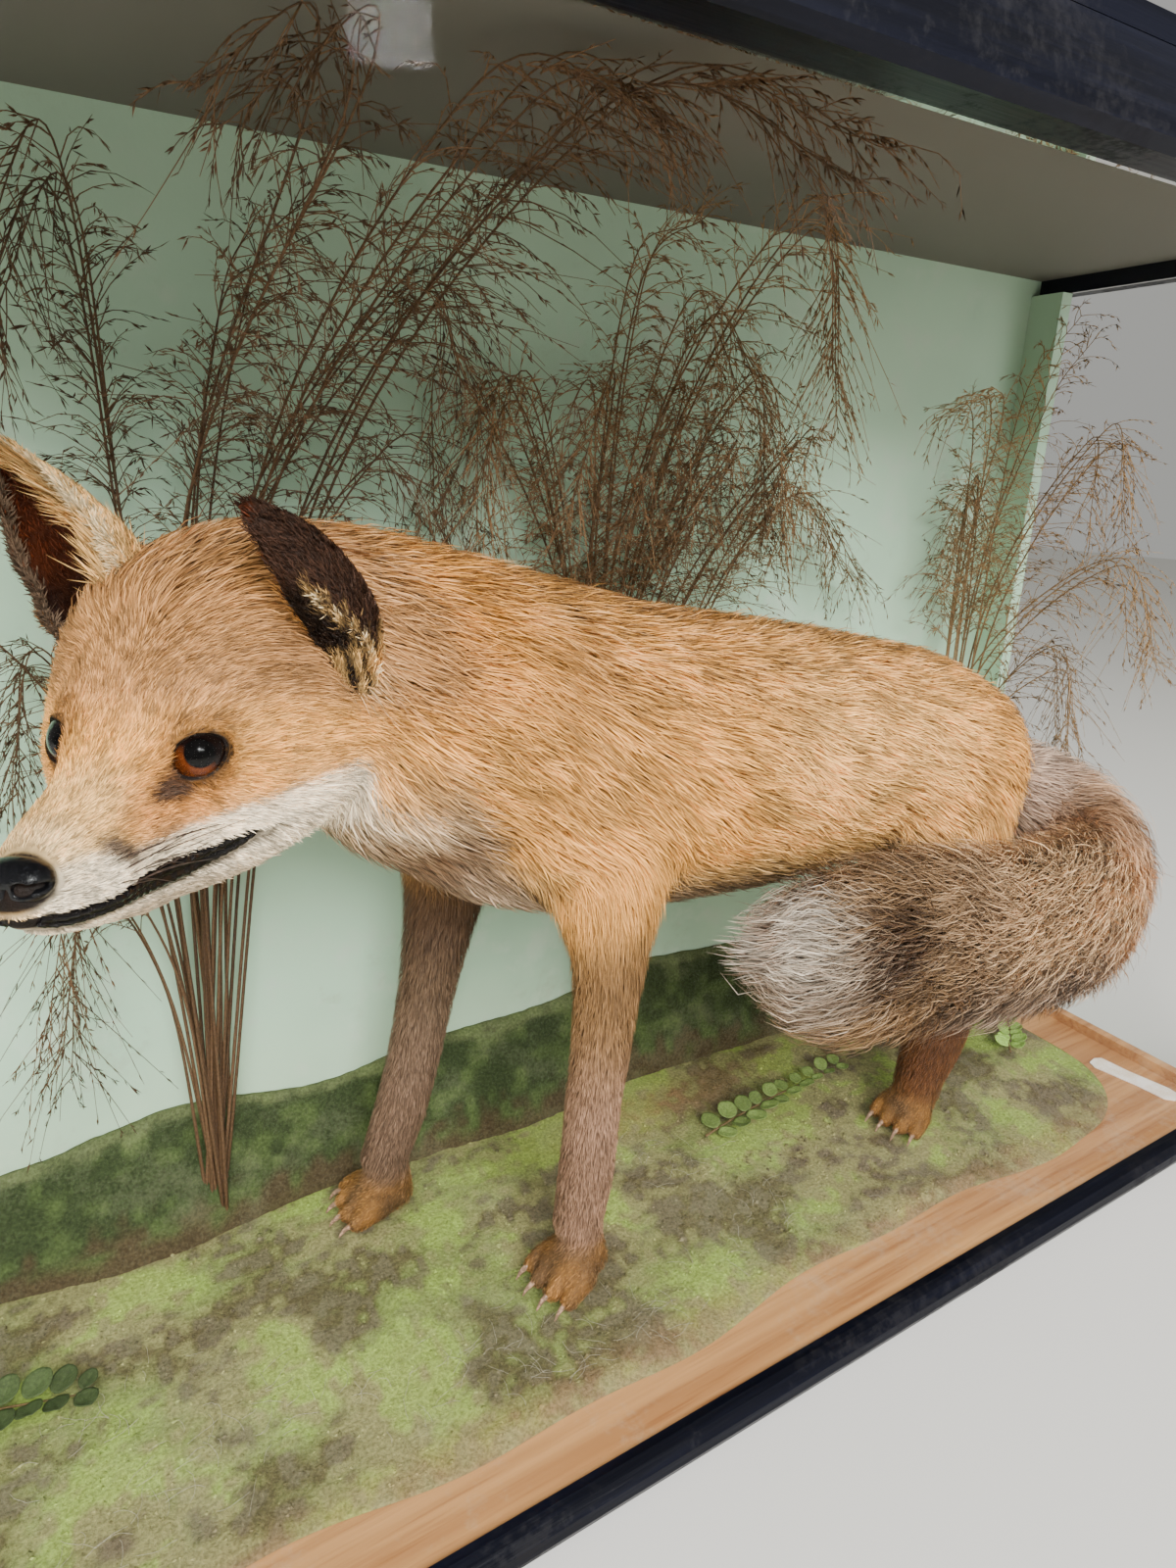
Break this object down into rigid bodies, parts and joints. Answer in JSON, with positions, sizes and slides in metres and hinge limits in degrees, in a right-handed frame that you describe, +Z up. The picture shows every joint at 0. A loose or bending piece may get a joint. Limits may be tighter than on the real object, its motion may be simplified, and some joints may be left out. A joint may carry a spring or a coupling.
{
  "type": "taxidermy fox in a glass case",
  "caption": "Mounted red fox standing on mossy groundwork with dried grasses, head turned to the front and tail curled forward, in a glazed wooden display case.",
  "frame": {"origin": "middle of the case's underside, on the surface that it stands on", "axes": "+X along the case, away from the end that the fox faces; -Y out through the front glass; +Z up"},
  "size_m": [0.906, 0.314, 0.613],
  "materials": {
    "red_coat": "matte short fur",
    "dark_coat": "matte short fur",
    "tail_coat": "matte long fur",
    "pale_coat": "matte long fur",
    "ear_back": "matte short fur",
    "eye_glass": "polished amber",
    "nose_pad": "glossy varnished",
    "black_paint": "satin black paint",
    "oak": "satin varnish",
    "mint_paint": "matt mint paint",
    "glass": "clear",
    "scatter": "rough moss scatter",
    "bank": "rough dark moss scatter",
    "straw": "dry stalks",
    "leaf": "matt leaves",
    "paper": "blank card"
  },
  "bodies": {
    "root": {"back_board": "mint_paint", "back_post_left": "mint_paint", "back_post_right": "mint_paint", "base_board": "oak", "ear_left": "ear_back", "ear_right": "ear_back", "eye_left": "eye_glass", "eye_right": "eye_glass", "foot_rail_back": "black_paint", "foot_rail_front": "black_paint", "foot_rail_left": "black_paint", "foot_rail_right": "black_paint", "front_post_left": "black_paint", "front_post_right": "black_paint", "glass_bead_left": "oak", "glass_bead_right": "oak", "grass_left": "straw", "grass_middle": "straw", "grass_right": "straw", "ground_bank": "bank", "groundwork": "scatter", "head": "red_coat", "label_slip": "paper", "leg_front_left": "red_coat", "leg_front_right": "red_coat", "leg_hind_left": "red_coat", "leg_hind_right": "red_coat", "lower_jaw": "pale_coat", "neck": "red_coat", "nose_pad": "nose_pad", "pane_front": "glass", "pane_left": "glass", "pane_right": "glass", "paw_front_left": "dark_coat", "paw_front_right": "dark_coat", "paw_hind_left": "dark_coat", "paw_hind_right": "dark_coat", "sprig_left": "leaf", "sprig_middle": "leaf", "sprig_right": "leaf", "tail_middle": "tail_coat", "tail_root": "tail_coat", "tail_tip": "pale_coat", "top_board": "black_paint", "top_rail_back": "black_paint", "top_rail_front": "black_paint", "top_rail_left": "black_paint", "top_rail_right": "black_paint", "trunk": "red_coat"}
  },
  "joints": []
}
